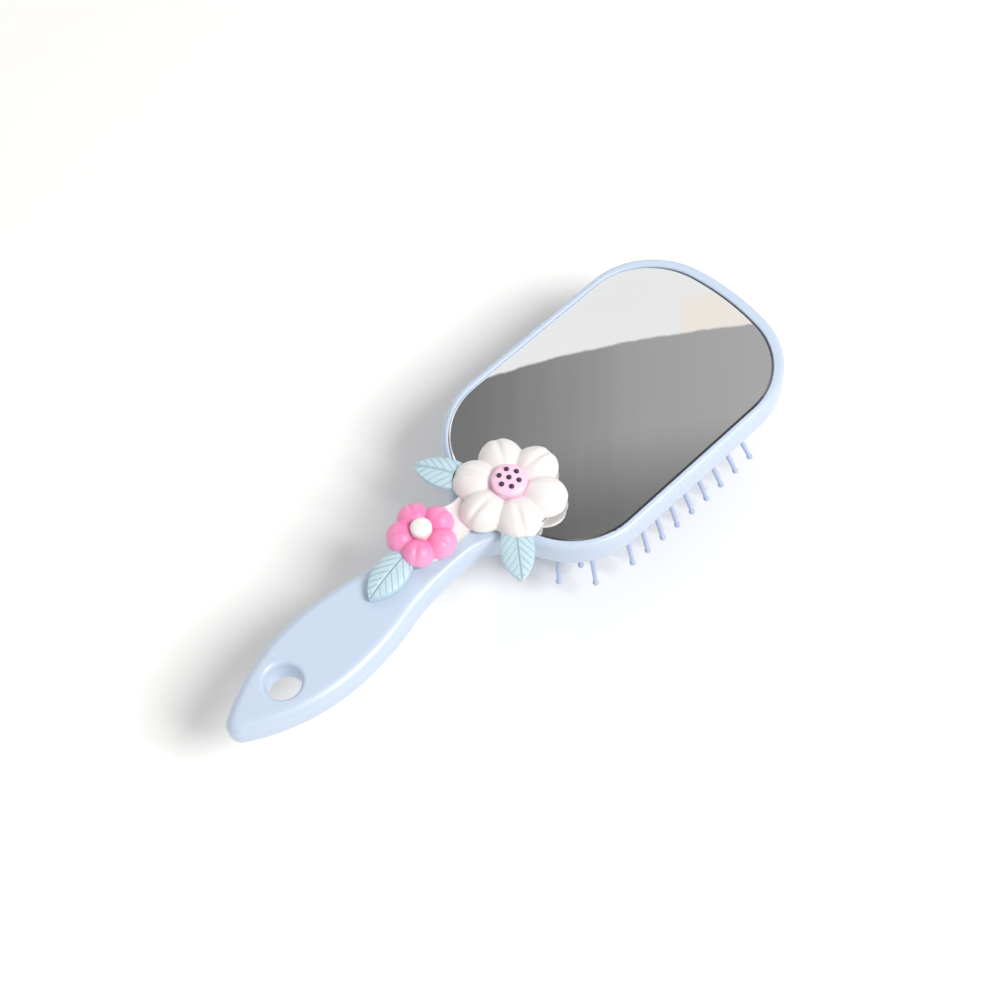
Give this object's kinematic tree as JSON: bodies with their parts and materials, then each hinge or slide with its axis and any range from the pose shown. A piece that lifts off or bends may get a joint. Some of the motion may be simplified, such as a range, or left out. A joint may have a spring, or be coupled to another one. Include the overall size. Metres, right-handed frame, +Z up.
{
  "type": "styling brush with mirror",
  "caption": "Handheld styling brush: a rounded mirror on the back of the head, ball-tipped pins on an air cushion below, a flower ornament on the neck and a hanging hole in the handle.",
  "frame": {"origin": "under the middle of the brush, level with the lowest pin tip", "axes": "+X along the brush from the handle's tip to the far end of the head, +Y across it, +Z up out of the mirror"},
  "size_m": [0.201, 0.0692, 0.0437],
  "materials": {
    "frame_plastic": "smooth glossy pale blue moulding",
    "mirror": "silvered plate with a polished bevel",
    "adhesive": "soft double-sided foam tape",
    "cushion_rubber": "soft matt rubber",
    "ring_plastic": "smooth pale blue moulding",
    "pin_plastic": "smooth pale blue nylon",
    "ornament_white": "soft satin white",
    "ornament_pale_pink": "soft satin pale pink",
    "ornament_pink": "soft satin hot pink",
    "ornament_aqua": "soft satin aqua",
    "ornament_black": "soft satin black"
  },
  "bodies": {
    "brush_body": {"handle_frame": "frame_plastic", "mirror_plate": "mirror", "mirror_tape": "adhesive", "ornament_tape": "adhesive", "rubber_cushion": "cushion_rubber", "cushion_ring": "ring_plastic", "ornament_backing": "ornament_white", "daisy_petals": "ornament_white", "daisy_button": "ornament_pale_pink", "daisy_seeds": "ornament_black", "blossom_petals": "ornament_pink", "blossom_button": "ornament_white", "leaf_left": "ornament_aqua", "leaf_right": "ornament_aqua", "leaf_tip": "ornament_aqua"},
    "pin_bed": {"pin_row_1": "pin_plastic", "pin_row_2": "pin_plastic", "pin_row_3": "pin_plastic", "pin_row_4": "pin_plastic", "pin_row_5": "pin_plastic", "pin_row_6": "pin_plastic", "pin_row_7": "pin_plastic"}
  },
  "joints": [
    {"name": "cushion_press", "type": "slide", "parent": "brush_body", "child": "pin_bed", "axis": [0, 0, 1], "range_m": [0, 0.002], "stiffness_N_per_m": 2500, "deforming": ["rubber_cushion"]}
  ]
}
